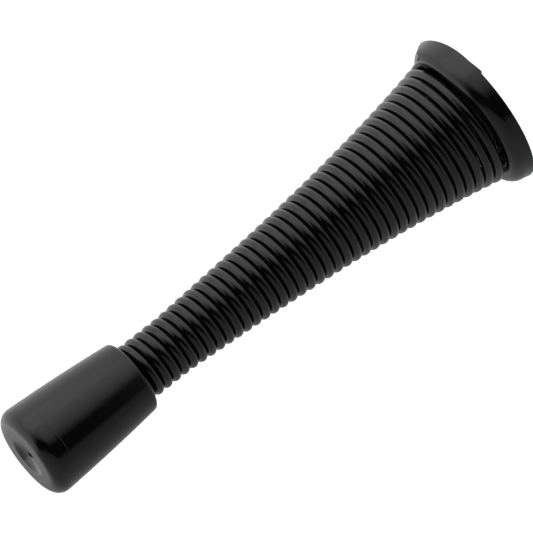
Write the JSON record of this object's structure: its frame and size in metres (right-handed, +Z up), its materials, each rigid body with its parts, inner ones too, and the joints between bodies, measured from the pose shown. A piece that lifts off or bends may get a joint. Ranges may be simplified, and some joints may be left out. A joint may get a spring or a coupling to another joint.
{
  "type": "spring door stop",
  "caption": "Wall-mounted door stop: a flared close-wound wire spring with a rubber bumper tip and a round pressed base plate with a screw hole.",
  "frame": {"origin": "centre of the screw hole, in the wall plane, where the base plate's floor rests on the wall", "axes": "-Y along the stop's axis, from the wall to the rubber tip. +Y into the wall. +Z up, +X to the side"},
  "size_m": [0.025, 0.086, 0.025],
  "materials": {
    "base_steel": "satin black baked coating on pressed steel",
    "spring_wire": "gloss to satin black coating on spring steel wire",
    "tip_rubber": "smooth satin black moulded rubber"
  },
  "bodies": {
    "base": {"base_plate": "base_steel"},
    "spring": {"coil_spring": "spring_wire"},
    "tip": {"rubber_tip": "tip_rubber"}
  },
  "joints": [
    {"name": "spring_bend", "type": "hinge", "parent": "base", "child": "spring", "pos_m": [0, -0.019, -0.0074], "axis": [1, 0, 0], "range_deg": [0, 35], "stiffness_Nm_per_rad": 0.25, "springref_deg": -5.73, "deforming": ["coil_spring"]},
    {"name": "tip_bend", "type": "hinge", "parent": "spring", "child": "tip", "pos_m": [0, -0.048, -0.0045], "axis": [1, 0, 0], "range_deg": [0, 10], "deforming": ["coil_spring"]}
  ],
  "couplings": [
    {"joint": "tip_bend", "follows": "spring_bend", "ratio": 0.2857}
  ]
}
